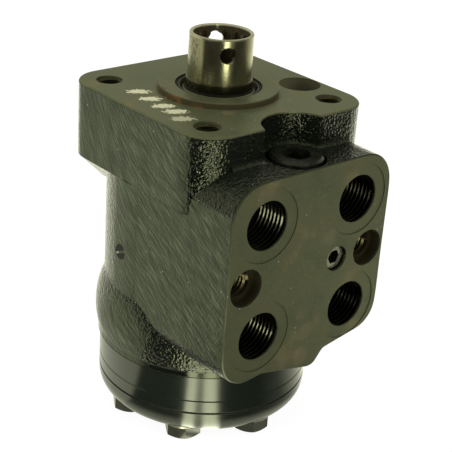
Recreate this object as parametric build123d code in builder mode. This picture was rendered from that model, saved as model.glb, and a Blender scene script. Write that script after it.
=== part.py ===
from build123d import *
import os
from math import cos, hypot, pi, radians, sin, sqrt

os.makedirs("parts", exist_ok=True)

# The unit stands in millimetres, Z up along the shaft, with the origin in the
# middle of the mounting face. The ports look towards minus Y.

# Clearances
running_gap = 0.04        # turning shaft in its bore, on the radius
face_gap = 0.05           # turning face beside a still face
fit_gap = 0.05            # still piece in its hole, on the radius
rotor_gap = 0.2           # rotor flank to gear ring lobe
spline_gap = 0.3          # all round the loose splines and the fork

# Mounting flange
flange_width = 81.5
flange_depth = 83.0
flange_corner = 13.0
flange_height = 29.0
flange_slope = 9.0
flange_edge = 0.8
mount_circle = 82.5
mount_thread = 10.0
mount_thread_depth = 18.0
pocket_diameter = 16.1
pocket_depth = 18.0
pocket_x = 31.5
pocket_y = -10.95

# Collar and seals round the shaft
collar_diameter = 45.4
collar_height = 2.1
collar_edge = 0.4
recess_diameter = 32.8
recess_depth = 7.0
dust_seal_height = 3.0
dust_seal_sink = 0.5
seal_rim = 1.5
seal_groove_depth = 1.4
seal_lip_wall = 1.2
seal_lip_rise = 0.3

# Housing body under the flange
body_diameter = 82.0
boss_height = 25.2
boss_diameter = 88.4
boss_middle_height = 10.7
boss_foot_diameter = 86.0
boss_band = 2.3
housing_height = 100.2

# Port block
port_face = 55.9
face_width = 77.2
block_top = 12.3
block_corner = 14.0
block_right = 84.3
block_right_corner = 11.0
block_left = 91.5
block_left_corner = 12.0
block_step_x = 12.0
block_step = 88.8
block_step_corner = 2.5
lobe_x = 7.0
lobe_depth = 94.9
lobe_corner = 4.5
block_rise_x = -18.5
block_rise = 89.3
block_rise_corner = 6.0
face_edge = 0.5
foot_radius = 2.0
notch_radius = 13.9
notch_y = -44.9

# Ports
port_spacing = 44.08
upper_port = 29.1
lower_port = 72.6
port_thread = 20.96
port_thread_depth = 16.0
spotface_diameter = 28.0
spotface_depth = 0.3
gallery_diameter = 8.0
gallery_shift = 3.5
gallery_shift_right = 4.5
gallery_end = 2.0

# Threaded holes and plugs in the port face and the side
face_hole_spacing = 60.0
face_hole_height = 50.9
face_hole_thread = 10.0
face_hole_depth = 16.0
face_hole_mouth = 14.4
face_hole_mouth_depth = 4.6
face_plug_x = 14.0
face_plug_height = 51.1
face_plug_diameter = 10.0
face_plug_length = 5.0
face_plug_sink = 1.6
face_plug_socket = 5.0
face_plug_socket_depth = 3.0
face_plug_hole_depth = 9.5
face_gallery_diameter = 6.0
side_plug_y = 3.2
side_plug_height = 58.3
side_plug_diameter = 6.2
side_plug_length = 4.0
side_plug_sink = 0.8
side_plug_slot = 1.0
side_plug_slot_depth = 0.8
side_plug_turn = 30.0
side_plug_hole_depth = 8.0
side_gallery_diameter = 4.0

# Main bore with its ring grooves
sleeve_diameter = 35.0
sleeve_top = 13.9
shoulder_diameter = 27.0
groove_diameter = 41.0
groove_width = 5.0
ring_groove_diameter = 39.0

# Spool shaft
spool_diameter = 25.1
shaft_diameter = 24.0
shaft_height = 22.2
shaft_step = 4.8
shaft_edge = 0.7
mouth_diameter = 21.2
mouth_depth = 2.3
spline_teeth = 12
spline_tip_diameter = 17.7
spline_root_diameter = 20.8
spline_slot_share = 0.55
spline_start_angle = 7.3
spline_depth = 30.0
cross_hole_diameter = 6.2
cross_hole_height = 16.4
cross_hole_angle = 62.8
spool_web = 6.0
spool_cavity_diameter = 19.2
spool_groove_count = 12
spool_groove_width = 3.0
spool_groove_depth = 1.2
spool_foot = 0.8
spool_swing = 8.0

# Sleeve
sleeve_foot = 0.3
sleeve_hole_diameter = 2.6
sleeve_hole_count = 12
metering_hole_diameter = 2.4
metering_rise = 9.7
metering_hole_count = 14

# Thrust bearing on top of the sleeve
race_thickness = 1.0
race_play = 0.3
roller_diameter = 2.0
roller_gap = 0.05
roller_length = 2.6
roller_count = 20
cage_thickness = 1.2
cage_play = 0.15
cage_rim = 0.5

# Centring springs and their ring
spring_slot_height = 5.4
spring_slot_width = 4.2
spring_slot_drop = 1.3
leaf_thickness = 0.5
leaf_space = 0.15
spring_ring_wall = 1.2
spring_ring_gap = 0.15

# Cross pin and cardan shaft
cross_pin_diameter = 8.0
cross_pin_height = 62.0
cross_pin_inset = 0.6
cardan_head_diameter = 17.0
cardan_head_rise = 6.0
cardan_head_drop = 8.0
cardan_head_crown = 0.8
cardan_neck_diameter = 10.0
cardan_taper = 5.0
cardan_foot_diameter = 19.6
cardan_foot_length = 8.0
cardan_teeth = 12
cardan_tooth_width = 2.1
cardan_root_diameter = 16.8
cardan_fork_depth = 5.0
cardan_tip_gap = 0.6

# Gear set
stack_diameter = 84.4
stack_edge = 0.3
plate_thickness = 10.8
gear_width = 5.35
cover_thickness = 11.0
cover_rounding = 8.5
lobe_count = 7
lobe_circle = 56.0
gear_lobe_diameter = 14.0
eccentricity = 2.8
outline_steps = 14
plate_bore_play = 0.8
channel_circle = 48.0
channel_diameter = 4.0
channel_spare = 1.3
spacer_thickness = 1.5

# Seal rings of the stack
seal_ring_circle = 77.0
seal_ring_section = 1.9
seal_ring_play = 0.35

# Cover screws
screw_circle = 63.4
screw_thread = 8.0
screw_first_angle = 270.0
screw_reach = 14.0
screw_hole_spare = 2.0
screw_head_flats = 13.0
screw_head_height = 5.3
washer_diameter = 15.0
washer_thickness = 1.0
screw_seat_diameter = 16.6
screw_seat_depth = 2.2
screw_clearance = 0.25

# Check valve over the pin screw
pin_screw_step = 2
pin_end_diameter = 3.0
pin_end_gap = 0.2
bush_length = 3.5
bush_bore = 4.4
check_ball_diameter = 6.4
check_bore = 6.8
check_lift = 1.4
check_seat_bore = 4.0
check_passage_height = 50.9

# Relief valve under its plug
relief_y = -44.3
relief_mouth_diameter = 22.0
relief_head_diameter = 19.7
relief_head_height = 5.5
relief_head_proud = 1.5
relief_head_edge = 0.8
relief_socket = 10.0
relief_socket_depth = 5.0
relief_thread = 18.0
relief_shank = 9.0
relief_seal_thickness = 1.0
relief_seal_diameter = 21.2
relief_bore = 12.0
relief_bore_depth = 66.0
relief_spare = 3.0
adjuster_length = 6.0
adjuster_drop = 1.0
adjuster_socket = 5.0
adjuster_socket_depth = 3.0
relief_spring_circle = 8.4
relief_spring_wire = 1.3
relief_spring_turns = 6
poppet_diameter = 7.0
poppet_length = 5.0
poppet_cone = 4.7
poppet_tip_diameter = 2.0
poppet_stem_diameter = 6.4
poppet_stem_length = 3.0
seat_height = 5.0
seat_bore = 3.6
inlet_diameter = 4.0
inlet_spare = 2.0
outlet_diameter = 4.0

# Levels and radii that follow from the sizes above
half_width = flange_width / 2
sleeve_radius = sleeve_diameter / 2
spool_radius = spool_diameter / 2
sleeve_bore_radius = spool_radius + running_gap
stack_radius = stack_diameter / 2
plate_level = -housing_height
body_height = housing_height - boss_height
boss_widest = housing_height - boss_middle_height
metering_height = housing_height - metering_rise
channel_height = metering_rise + channel_spare
gear_level = plate_level - plate_thickness
cover_level = gear_level - gear_width
cover_bottom = cover_level - cover_thickness
seat_level = cover_bottom + screw_seat_depth
bearing_top = sleeve_top - 2 * race_thickness - roller_diameter - 2 * roller_gap - face_gap
lobe_radius = gear_lobe_diameter / 2
lobe_reach = lobe_circle / 2
screw_radius = screw_thread / 2
screw_angles = [screw_first_angle + 360 / lobe_count * k for k in range(lobe_count)]
pin_screw_angle = screw_angles[pin_screw_step]
chamber_angles = [angle + 180 / lobe_count for angle in screw_angles]
spring_top = sleeve_top + spring_slot_drop
spring_middle = spring_top + spring_slot_height / 2
port_grooves = [
    upper_port - gallery_shift,
    upper_port + gallery_shift_right,
    lower_port - gallery_shift_right,
    lower_port + gallery_shift_right,
]
face_plane = Plane(origin=(0, -port_face, 0), x_dir=(1, 0, 0), z_dir=(0, -1, 0))
block_back_plane = Plane(origin=(0, 0, 0), x_dir=(1, 0, 0), z_dir=(0, -1, 0))
side_plane = Plane(origin=(-half_width, side_plug_y, -side_plug_height), z_dir=(-1, 0, 0))


def polar(radius, angle, height=0.0):
    """Point at a radius and an angle in degrees about the shaft axis."""
    return (radius * cos(radians(angle)), radius * sin(radians(angle)), height)


def at_angle(angle, height):
    """Plane through the axis whose normal points outwards at the angle."""
    return Plane(origin=(0, 0, height), x_dir=(0, 0, 1), z_dir=polar(1, angle))


def block_corners(half):
    """Corners of the port block in front view, half as wide as its full width."""
    return [
        (-half, -block_top),
        (half, -block_top),
        (half, -block_right),
        (block_step_x, -block_step),
        (lobe_x, -lobe_depth),
        (block_rise_x, -block_rise),
        (-half, -block_left),
    ]


block_radii = [
    block_corner,
    block_corner,
    block_right_corner,
    block_step_corner,
    lobe_corner,
    block_rise_corner,
    block_left_corner,
]


# Valve housing: one iron casting with the machined flange, collar and port face
relief_floor = block_top - relief_head_proud + relief_head_height + relief_seal_thickness
relief_step = relief_floor + relief_shank + relief_spare
screw_hole_radius = screw_radius + fit_gap
check_radius = check_ball_diameter / 2
bush_level = plate_level + screw_reach + screw_hole_spare + bush_length
ball_level = bush_level + sqrt(check_radius**2 - (bush_bore / 2) ** 2) + fit_gap
check_seat_level = ball_level + check_lift + sqrt(check_radius**2 - (check_seat_bore / 2) ** 2)

with BuildPart() as housing:
    with BuildSketch():
        RectangleRounded(flange_width, flange_depth, flange_corner)
    extrude(amount=-flange_height)
    flange_rim = housing.faces().sort_by(Axis.Z)[-1].outer_wire().edges()
    fillet(flange_rim, radius=flange_edge)
    with BuildSketch(Plane.XY.offset(-flange_height)):
        RectangleRounded(flange_width, flange_depth, flange_corner)
    extrude(amount=-flange_slope, taper=45)
    with BuildSketch(Plane.XY.offset(-flange_height)):
        Circle(body_diameter / 2)
    extrude(amount=flange_height - body_height)
    with BuildSketch(Plane.XZ):
        with BuildLine():
            start = (body_diameter / 2, -body_height)
            band = (boss_foot_diameter / 2, -housing_height + boss_band)
            Polyline((0, -body_height), start)
            ThreePointArc(start, (boss_diameter / 2, -boss_widest), band)
            Polyline(band, (boss_foot_diameter / 2, -housing_height), (0, -housing_height), (0, -body_height))
        make_face()
    revolve(axis=Axis.Z)
    for plane, half in [(face_plane, face_width / 2), (block_back_plane, half_width)]:
        with BuildSketch(plane):
            with BuildLine():
                FilletPolyline(*block_corners(half), radius=block_radii, close=True)
            make_face()
    loft(ruled=True)
    face_rim = housing.faces().sort_by(Axis.Y)[0].outer_wire().edges()
    chamfer(face_rim, length=face_edge)

    # Cove where the flange's front wall meets the block, then the round-footed notch
    with BuildSketch(Plane.YZ):
        with BuildLine():
            wall = -flange_depth / 2
            cove_top = (wall, foot_radius - block_top)
            cove_end = (wall - foot_radius, -block_top)
            root = foot_radius - block_top - 2 * foot_radius
            RadiusArc(cove_top, cove_end, foot_radius)
            Polyline(cove_end, (wall - foot_radius, root), (wall, root), cove_top)
        make_face()
    extrude(amount=half_width - flange_corner, both=True)
    with BuildSketch(Plane.XZ.offset(-notch_y)):
        with BuildLine():
            notch_side = (notch_radius, foot_radius - block_top)
            notch_foot = (notch_radius - foot_radius, -block_top)
            RadiusArc(notch_side, notch_foot, foot_radius)
            Polyline(notch_foot, (0, -block_top), (0, collar_height), (notch_radius, collar_height), notch_side)
        make_face()
    revolve(axis=Axis((0, notch_y, 0), (0, 0, 1)), mode=Mode.SUBTRACT)

    # Collar with the stepped bore for the seals, the bearing and the sleeve
    with BuildSketch():
        Circle(collar_diameter / 2)
    extrude(amount=collar_height)
    collar_rim = housing.edges().filter_by(GeomType.CIRCLE).sort_by(Axis.Z)[-1]
    chamfer(collar_rim, length=collar_edge)
    with BuildSketch(Plane.XY.offset(collar_height)):
        Circle(recess_diameter / 2)
    extrude(amount=-collar_height - recess_depth, mode=Mode.SUBTRACT)
    with BuildSketch(Plane.XY.offset(-recess_depth)):
        Circle(shoulder_diameter / 2)
    extrude(amount=recess_depth - bearing_top, mode=Mode.SUBTRACT)
    with BuildSketch(Plane.XY.offset(-bearing_top)):
        Circle(sleeve_radius)
    extrude(amount=bearing_top - housing_height, mode=Mode.SUBTRACT)
    for level in port_grooves + [face_plug_height, side_plug_height]:
        with BuildSketch(Plane.XY.offset(groove_width / 2 - level)):
            Circle(groove_diameter / 2)
        extrude(amount=-groove_width, mode=Mode.SUBTRACT)
    with BuildSketch(Plane.XY.offset(-sleeve_top)):
        Circle(ring_groove_diameter / 2)
    extrude(amount=-2 * spring_slot_drop - spring_slot_height, mode=Mode.SUBTRACT)

    # Mounting threads and the round pocket in the flange
    with GridLocations(mount_circle / sqrt(2), mount_circle / sqrt(2), 2, 2):
        Hole(mount_thread / 2, depth=mount_thread_depth)
    with Locations((pocket_x, pocket_y)):
        Hole(pocket_diameter / 2, depth=pocket_depth)

    # Four ports, each with its gallery to a ring groove round the sleeve
    port_places = [
        (-port_spacing / 2, -upper_port, -port_grooves[0]),
        (port_spacing / 2, -upper_port, -port_grooves[1]),
        (-port_spacing / 2, -lower_port, -port_grooves[2]),
        (port_spacing / 2, -lower_port, -port_grooves[3]),
    ]
    for x, z, groove in port_places:
        with BuildSketch(face_plane):
            with Locations((x, z)):
                Circle(spotface_diameter / 2)
        extrude(amount=-spotface_depth, mode=Mode.SUBTRACT)
        with BuildSketch(face_plane):
            with Locations((x, z)):
                Circle(port_thread / 2)
        extrude(amount=-port_thread_depth, mode=Mode.SUBTRACT)
        with BuildSketch(face_plane):
            with Locations((x, groove)):
                Circle(gallery_diameter / 2)
        extrude(amount=gallery_end - port_face, mode=Mode.SUBTRACT)

    # Two threaded holes and the small plug's hole in the port face
    with BuildSketch(face_plane):
        with Locations((0, -face_hole_height)):
            with GridLocations(face_hole_spacing, 0, 2, 1):
                Circle(face_hole_thread / 2)
    extrude(amount=-face_hole_depth, mode=Mode.SUBTRACT)
    with BuildSketch(face_plane):
        with Locations((0, -face_hole_height)):
            with GridLocations(face_hole_spacing, 0, 2, 1):
                Circle(face_hole_mouth / 2)
    extrude(amount=-face_hole_mouth_depth, mode=Mode.SUBTRACT)
    with BuildSketch(face_plane):
        with Locations((face_plug_x, -face_plug_height)):
            Circle(face_plug_diameter / 2)
    extrude(amount=-face_plug_hole_depth, mode=Mode.SUBTRACT)
    with BuildSketch(face_plane):
        with Locations((face_plug_x, -face_plug_height)):
            Circle(face_gallery_diameter / 2)
    extrude(amount=sleeve_radius - port_face, mode=Mode.SUBTRACT)

    # Plugged gallery in the left side
    with BuildSketch(side_plane):
        Circle(side_plug_diameter / 2)
    extrude(amount=-side_plug_hole_depth, mode=Mode.SUBTRACT)
    with BuildSketch(side_plane):
        Circle(side_gallery_diameter / 2)
    extrude(amount=sleeve_radius - half_width, mode=Mode.SUBTRACT)

    # Relief valve bore, its stepped mouth and its outlet
    for diameter, depth in [
        (relief_mouth_diameter, relief_floor),
        (relief_thread + 2 * fit_gap, relief_step),
        (relief_bore, relief_bore_depth),
        (inlet_diameter, port_grooves[2] + inlet_spare),
    ]:
        with BuildSketch(Plane.XY.offset(-block_top)):
            with Locations((0, relief_y)):
                Circle(diameter / 2)
        extrude(amount=block_top - depth, mode=Mode.SUBTRACT)
    for diameter, depth in [(outlet_diameter, face_plug_height), (inlet_diameter, port_grooves[2])]:
        with BuildSketch(Plane(origin=(0, relief_y, -depth), x_dir=(1, 0, 0), z_dir=(0, 1, 0))):
            Circle(diameter / 2)
        extrude(amount=-relief_y - sleeve_radius, mode=Mode.SUBTRACT)

    # Channels from the gear set up to the metering holes of the sleeve
    with BuildSketch(Plane.XY.offset(plate_level)):
        with PolarLocations(channel_circle / 2, lobe_count, start_angle=chamber_angles[0]):
            Circle(channel_diameter / 2)
    extrude(amount=channel_height, mode=Mode.SUBTRACT)
    for angle in chamber_angles:
        with BuildSketch(at_angle(angle, -metering_height)):
            Circle(channel_diameter / 2)
        extrude(amount=channel_circle / 2, mode=Mode.SUBTRACT)

    # Screw holes, the check valve over one of them and the seal groove
    with BuildSketch(Plane.XY.offset(plate_level)):
        with PolarLocations(screw_circle / 2, lobe_count, start_angle=screw_first_angle):
            Circle(screw_hole_radius)
    extrude(amount=screw_reach + screw_hole_spare, mode=Mode.SUBTRACT)
    check_x, check_y, check_z = polar(screw_circle / 2, pin_screw_angle)
    for radius, top in [
        (screw_hole_radius, bush_level),
        (check_bore / 2, check_seat_level),
        (check_seat_bore / 2, -check_passage_height),
    ]:
        with BuildSketch(Plane.XY.offset(plate_level)):
            with Locations((check_x, check_y)):
                Circle(radius)
        extrude(amount=top - plate_level, mode=Mode.SUBTRACT)
    with BuildSketch(at_angle(pin_screw_angle, -check_passage_height)):
        Circle(check_seat_bore / 2)
    extrude(amount=screw_circle / 2, mode=Mode.SUBTRACT)
    with BuildSketch(Plane.XY.offset(plate_level)):
        Circle((seal_ring_circle + seal_ring_section) / 2 + seal_ring_play)
        Circle((seal_ring_circle - seal_ring_section) / 2 - seal_ring_play, mode=Mode.SUBTRACT)
    extrude(amount=seal_ring_section, mode=Mode.SUBTRACT)
housing.part.label = "valve_housing"
export_step(housing.part, "parts/valve_housing.step")

# Dust seal: rubber ring with a groove and a lip on the shaft, flush in the collar
lip_radius = spool_radius + running_gap
seal_outer = recess_diameter / 2 - fit_gap
dust_top = collar_height - dust_seal_sink
dust_bottom = dust_top - dust_seal_height
with BuildPart() as dust_seal:
    with BuildSketch(Plane.XZ):
        with BuildLine():
            Polyline(
                (lip_radius, dust_bottom),
                (seal_outer, dust_bottom),
                (seal_outer, dust_top),
                (seal_outer - seal_rim, dust_top),
                (seal_outer - seal_rim, dust_top - seal_groove_depth),
                (lip_radius + seal_lip_wall, dust_top - seal_groove_depth),
                (lip_radius, dust_top + seal_lip_rise),
                close=True,
            )
        make_face()
    revolve(axis=Axis.Z)
dust_seal.part.label = "dust_seal"
export_step(dust_seal.part, "parts/dust_seal.step")

# Shaft seal: pressure seal between the dust seal and the bottom of the recess
with BuildPart() as shaft_seal:
    with BuildSketch(Plane.XZ):
        with BuildLine():
            Polyline(
                (lip_radius, dust_bottom),
                (lip_radius, -recess_depth),
                (lip_radius + seal_lip_wall, -recess_depth),
                (lip_radius + seal_lip_wall, seal_groove_depth - recess_depth),
                (seal_outer - seal_rim, seal_groove_depth - recess_depth),
                (seal_outer - seal_rim, -recess_depth),
                (seal_outer, -recess_depth),
                (seal_outer, dust_bottom),
                close=True,
            )
        make_face()
    revolve(axis=Axis.Z)
shaft_seal.part.label = "shaft_seal"
export_step(shaft_seal.part, "parts/shaft_seal.step")

# Thrust bearing races: one still under the shoulder, one turning on the sleeve
race_inner = spool_radius + race_play
race_outer = sleeve_radius - race_play
lower_race_top = sleeve_top - face_gap - race_thickness
with BuildPart() as upper_race:
    with BuildSketch(Plane.XY.offset(-bearing_top)):
        Circle(race_outer)
        Circle(race_inner, mode=Mode.SUBTRACT)
    extrude(amount=-race_thickness)
upper_race.part.label = "upper_bearing_race"
export_step(upper_race.part, "parts/upper_bearing_race.step")

with BuildPart() as lower_race:
    with BuildSketch(Plane.XY.offset(-lower_race_top)):
        Circle(race_outer)
        Circle(race_inner, mode=Mode.SUBTRACT)
    extrude(amount=-race_thickness)
lower_race.part.label = "lower_bearing_race"
export_step(lower_race.part, "parts/lower_bearing_race.step")

# Needle bearing: flat cage with a window for each radial roller
roller_level = -bearing_top - race_thickness - roller_gap - roller_diameter / 2
roller_middle = (race_inner + race_outer) / 2
window_length = roller_length + 2 * cage_play
window_width = roller_diameter + 2 * cage_play
with BuildPart() as needle_bearing:
    with BuildSketch(Plane.XY.offset(roller_level - cage_thickness / 2)):
        Circle(roller_middle + window_length / 2 + cage_rim)
        Circle(roller_middle - window_length / 2 - cage_rim, mode=Mode.SUBTRACT)
        with PolarLocations(roller_middle, roller_count):
            Rectangle(window_length, window_width, mode=Mode.SUBTRACT)
    extrude(amount=cage_thickness)
    for k in range(roller_count):
        with BuildSketch(at_angle(360 / roller_count * k, roller_level).offset(roller_middle - roller_length / 2)):
            Circle(roller_diameter / 2)
        extrude(amount=roller_length)
needle_bearing.part.label = "needle_bearing"
export_step(needle_bearing.part, "parts/needle_bearing.step")

# Sleeve: turns in the housing bore, with port holes, spring slots and pin holes
sleeve_bottom = -housing_height + sleeve_foot
slot_length = ring_groove_diameter
with BuildPart() as sleeve:
    with BuildSketch(Plane.XY.offset(-sleeve_top)):
        Circle(sleeve_radius - running_gap)
        Circle(sleeve_bore_radius, mode=Mode.SUBTRACT)
    extrude(amount=sleeve_bottom + sleeve_top)
    for level in port_grooves:
        for k in range(sleeve_hole_count // 2):
            with BuildSketch(at_angle(360 / sleeve_hole_count * k, -level)):
                Circle(sleeve_hole_diameter / 2)
            extrude(amount=sleeve_radius, both=True, mode=Mode.SUBTRACT)
    for k in range(metering_hole_count // 2):
        with BuildSketch(at_angle(360 / metering_hole_count * k, -metering_height)):
            Circle(metering_hole_diameter / 2)
        extrude(amount=sleeve_radius, both=True, mode=Mode.SUBTRACT)
    with Locations((0, 0, -spring_middle)):
        Box(spring_slot_width, slot_length, spring_slot_height, mode=Mode.SUBTRACT)
    with Locations((0, 0, -cross_pin_height)):
        Cylinder(cross_pin_diameter / 2 + fit_gap, sleeve_diameter, rotation=(0, 90, 0), mode=Mode.SUBTRACT)
sleeve.part.label = "sleeve"
export_step(sleeve.part, "parts/sleeve.step")

# Spool shaft: the splined shaft end above, the hollow spool in the sleeve below
spool_bottom = -housing_height + spool_foot
spline_root = spline_root_diameter / 2
spline_tip = spline_tip_diameter / 2
spline_slot = spline_slot_share * 2 * pi * spline_root / spline_teeth
pin_hole_radius = cross_pin_diameter / 2 + spool_radius * sin(radians(spool_swing)) + spline_gap
cavity_top = shaft_height - spline_depth - spool_web
spool_slot_width = spring_slot_width + 2 * spool_radius * sin(radians(spool_swing))
with BuildPart() as spool:
    with BuildSketch(Plane.XY.offset(spool_bottom)):
        Circle(spool_radius)
    extrude(amount=shaft_step - spool_bottom)
    with BuildSketch(Plane.XY.offset(shaft_step)):
        Circle(shaft_diameter / 2)
    extrude(amount=shaft_height - shaft_step)
    fillet(spool.edges().filter_by(GeomType.CIRCLE).sort_by(Axis.Z)[-1], radius=shaft_edge)
    with BuildSketch(Plane.XY.offset(shaft_height)):
        Circle(mouth_diameter / 2)
    extrude(amount=-mouth_depth, mode=Mode.SUBTRACT)
    chamfer(spool.faces().sort_by(Axis.Z)[-1].edges().sort_by(SortBy.LENGTH)[0], length=shaft_edge / 2)
    with BuildSketch(Plane.XY.offset(shaft_height - mouth_depth)):
        Circle(spline_tip)
        with PolarLocations((spline_tip + spline_root) / 2, spline_teeth, start_angle=spline_start_angle):
            Rectangle(spline_root - spline_tip + 2 * spline_gap, spline_slot)
        Circle(spline_root, mode=Mode.INTERSECT)
    extrude(amount=mouth_depth - spline_depth, mode=Mode.SUBTRACT)
    with BuildSketch(Plane.XY.offset(spool_bottom)):
        Circle(spool_cavity_diameter / 2)
    extrude(amount=cavity_top - spool_bottom, mode=Mode.SUBTRACT)
    with BuildSketch(at_angle(cross_hole_angle, cross_hole_height)):
        Circle(cross_hole_diameter / 2)
    extrude(amount=shaft_diameter, both=True, mode=Mode.SUBTRACT)
    with Locations((0, 0, -cross_pin_height)):
        Cylinder(pin_hole_radius, 2 * spool_diameter, rotation=(0, 90, 0), mode=Mode.SUBTRACT)
    with Locations((0, 0, -spring_middle)):
        Box(spool_slot_width, slot_length, spring_slot_height, mode=Mode.SUBTRACT)
    for top, end in [
        (port_grooves[0], port_grooves[1]),
        (port_grooves[2], metering_height),
    ]:
        with Locations((0, 0, -(top + end) / 2)):
            with PolarLocations(spool_radius, spool_groove_count, start_angle=180 / spool_groove_count):
                Box(2 * spool_groove_depth, spool_groove_width, end - top, mode=Mode.SUBTRACT)
spool.part.label = "spool_shaft"
export_step(spool.part, "parts/spool_shaft.step")

# Centring springs: two flat and two bowed leaves through sleeve and spool
leaf_length = sleeve_diameter - 2 * cross_pin_inset
leaf_height = spring_slot_height - 2 * leaf_space
leaf_inner = 2 * leaf_space + leaf_thickness
leaf_bow = spring_slot_width / 2 - fit_gap - leaf_inner - leaf_thickness
with BuildPart() as centring_springs:
    for side in (-1, 1):
        with BuildSketch(Plane.XY.offset(-spring_middle - leaf_height / 2)):
            with Locations((side * (leaf_space + leaf_thickness / 2), 0)):
                Rectangle(leaf_thickness, leaf_length)
        extrude(amount=leaf_height)
        with BuildSketch(Plane.XY.offset(-spring_middle - leaf_height / 2)):
            with BuildLine():
                near = [
                    (side * (leaf_inner + leaf_bow), -leaf_length / 2),
                    (side * leaf_inner, 0),
                    (side * (leaf_inner + leaf_bow), leaf_length / 2),
                ]
                far = [(x + side * leaf_thickness, y) for x, y in near]
                ThreePointArc(*near)
                ThreePointArc(*far)
                Line(near[0], far[0])
                Line(near[2], far[2])
            make_face()
        extrude(amount=leaf_height)
centring_springs.part.label = "centring_springs"
export_step(centring_springs.part, "parts/centring_springs.step")

# Spring ring: keeps the leaves from sliding out of the sleeve
spring_ring_radius = sleeve_radius + spring_ring_gap
spring_ring_height = spring_slot_height + spring_slot_drop
with BuildPart() as spring_ring:
    with BuildSketch(Plane.XY.offset(-spring_middle - spring_ring_height / 2)):
        Circle(spring_ring_radius + spring_ring_wall)
        Circle(spring_ring_radius, mode=Mode.SUBTRACT)
    extrude(amount=spring_ring_height)
spring_ring.part.label = "spring_ring"
export_step(spring_ring.part, "parts/spring_ring.step")

# Cross pin: carries the turning from sleeve and spool to the cardan shaft
with BuildPart() as cross_pin:
    with Locations((0, 0, -cross_pin_height)):
        Cylinder(cross_pin_diameter / 2, sleeve_diameter - 2 * cross_pin_inset, rotation=(0, 90, 0))
    chamfer(cross_pin.edges().filter_by(GeomType.CIRCLE), length=cross_pin_inset)
cross_pin.part.label = "cross_pin"
export_step(cross_pin.part, "parts/cross_pin.step")

# Cardan shaft: forked head on the cross pin, splined foot in the rotor
spacer_top = cover_level + face_gap + spacer_thickness
cardan_tip = spacer_top + cardan_tip_gap
cardan_low = (gear_level + cardan_tip) / 2
cardan_run = hypot(eccentricity, cardan_low + cross_pin_height)
cardan_tail = cardan_low - cardan_tip
cardan_plane = Plane(
    origin=(0, 0, -cross_pin_height),
    x_dir=(-cardan_low - cross_pin_height, 0, eccentricity),
    z_dir=(eccentricity, 0, cardan_low + cross_pin_height),
)
cardan_neck = cardan_neck_diameter / 2
cardan_root = cardan_root_diameter / 2
cardan_crown = cardan_head_diameter / 2 - cardan_head_crown
foot_start = cardan_run + cardan_tail - cardan_foot_length
with BuildPart() as cardan:
    with BuildSketch(Plane(origin=cardan_plane.origin, x_dir=cardan_plane.x_dir, z_dir=(0, -1, 0))):
        with BuildLine():
            head_top = (cardan_crown, cardan_head_rise)
            head_foot = (cardan_crown, -cardan_head_drop)
            ThreePointArc(head_top, (cardan_head_diameter / 2, 0), head_foot)
            Polyline(
                head_foot,
                (cardan_neck, -cardan_head_drop - cardan_taper),
                (cardan_neck, cardan_taper / 2 - foot_start),
                (cardan_root, -foot_start),
                (cardan_root, -cardan_run - cardan_tail),
                (0, -cardan_run - cardan_tail),
                (0, cardan_head_rise),
                head_top,
            )
        make_face()
    revolve(axis=Axis(cardan_plane.origin, cardan_plane.z_dir))
    with BuildSketch(cardan_plane.offset(foot_start)):
        with PolarLocations(cardan_root - spline_gap, cardan_teeth):
            Rectangle(
                cardan_foot_diameter / 2 - cardan_root + spline_gap,
                cardan_tooth_width,
                align=(Align.MIN, Align.CENTER),
            )
    extrude(amount=cardan_foot_length)
    with BuildSketch(cardan_plane.offset(-cardan_head_rise)):
        Rectangle(sleeve_diameter, cross_pin_diameter + 2 * spline_gap)
    extrude(amount=cardan_head_rise + cardan_fork_depth, mode=Mode.SUBTRACT)
cardan.part.label = "cardan_shaft"
export_step(cardan.part, "parts/cardan_shaft.step")

# Distributor plate: passes the oil between the housing channels and the gear set
with BuildPart() as plate:
    with BuildSketch(Plane.XY.offset(gear_level)):
        Circle(stack_radius)
        Circle(cardan_foot_diameter / 2 + eccentricity + plate_bore_play, mode=Mode.SUBTRACT)
        with PolarLocations(channel_circle / 2, lobe_count, start_angle=chamber_angles[0]):
            Circle(channel_diameter / 2, mode=Mode.SUBTRACT)
        with PolarLocations(screw_circle / 2, lobe_count, start_angle=screw_first_angle):
            Circle(screw_radius + screw_clearance, mode=Mode.SUBTRACT)
    extrude(amount=plate_thickness)
    rim = plate.edges().filter_by(GeomType.CIRCLE).group_by(SortBy.RADIUS)[-1]
    chamfer(rim, length=stack_edge)
    with BuildSketch(Plane.XY.offset(gear_level)):
        Circle((seal_ring_circle + seal_ring_section) / 2 + seal_ring_play)
        Circle((seal_ring_circle - seal_ring_section) / 2 - seal_ring_play, mode=Mode.SUBTRACT)
    extrude(amount=seal_ring_section, mode=Mode.SUBTRACT)
plate.part.label = "distributor_plate"
export_step(plate.part, "parts/distributor_plate.step")

# Gear ring: the still outer gear, with one inward lobe at each screw
lobe_root = lobe_reach + 2 * eccentricity - lobe_radius + rotor_gap
with BuildPart() as gear_ring:
    with BuildSketch(Plane.XY.offset(cover_level)):
        Circle(stack_radius)
        Circle(lobe_root, mode=Mode.SUBTRACT)
        with PolarLocations(lobe_reach, lobe_count, start_angle=screw_first_angle):
            Circle(lobe_radius)
        with PolarLocations(screw_circle / 2, lobe_count, start_angle=screw_first_angle):
            Circle(screw_radius + screw_clearance, mode=Mode.SUBTRACT)
    extrude(amount=gear_width)
    rim = gear_ring.edges().filter_by(GeomType.CIRCLE).group_by(SortBy.RADIUS)[-1]
    chamfer(rim, length=stack_edge)
gear_ring.part.label = "gear_ring"
export_step(gear_ring.part, "parts/gear_ring.step")

# Rotor: its outline is the path of the ring's lobe centres, moved inwards
rotor_lobes = lobe_count - 1
rotor_phase = lobe_count * screw_first_angle / rotor_lobes
flank_shift = lobe_radius + rotor_gap


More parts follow.
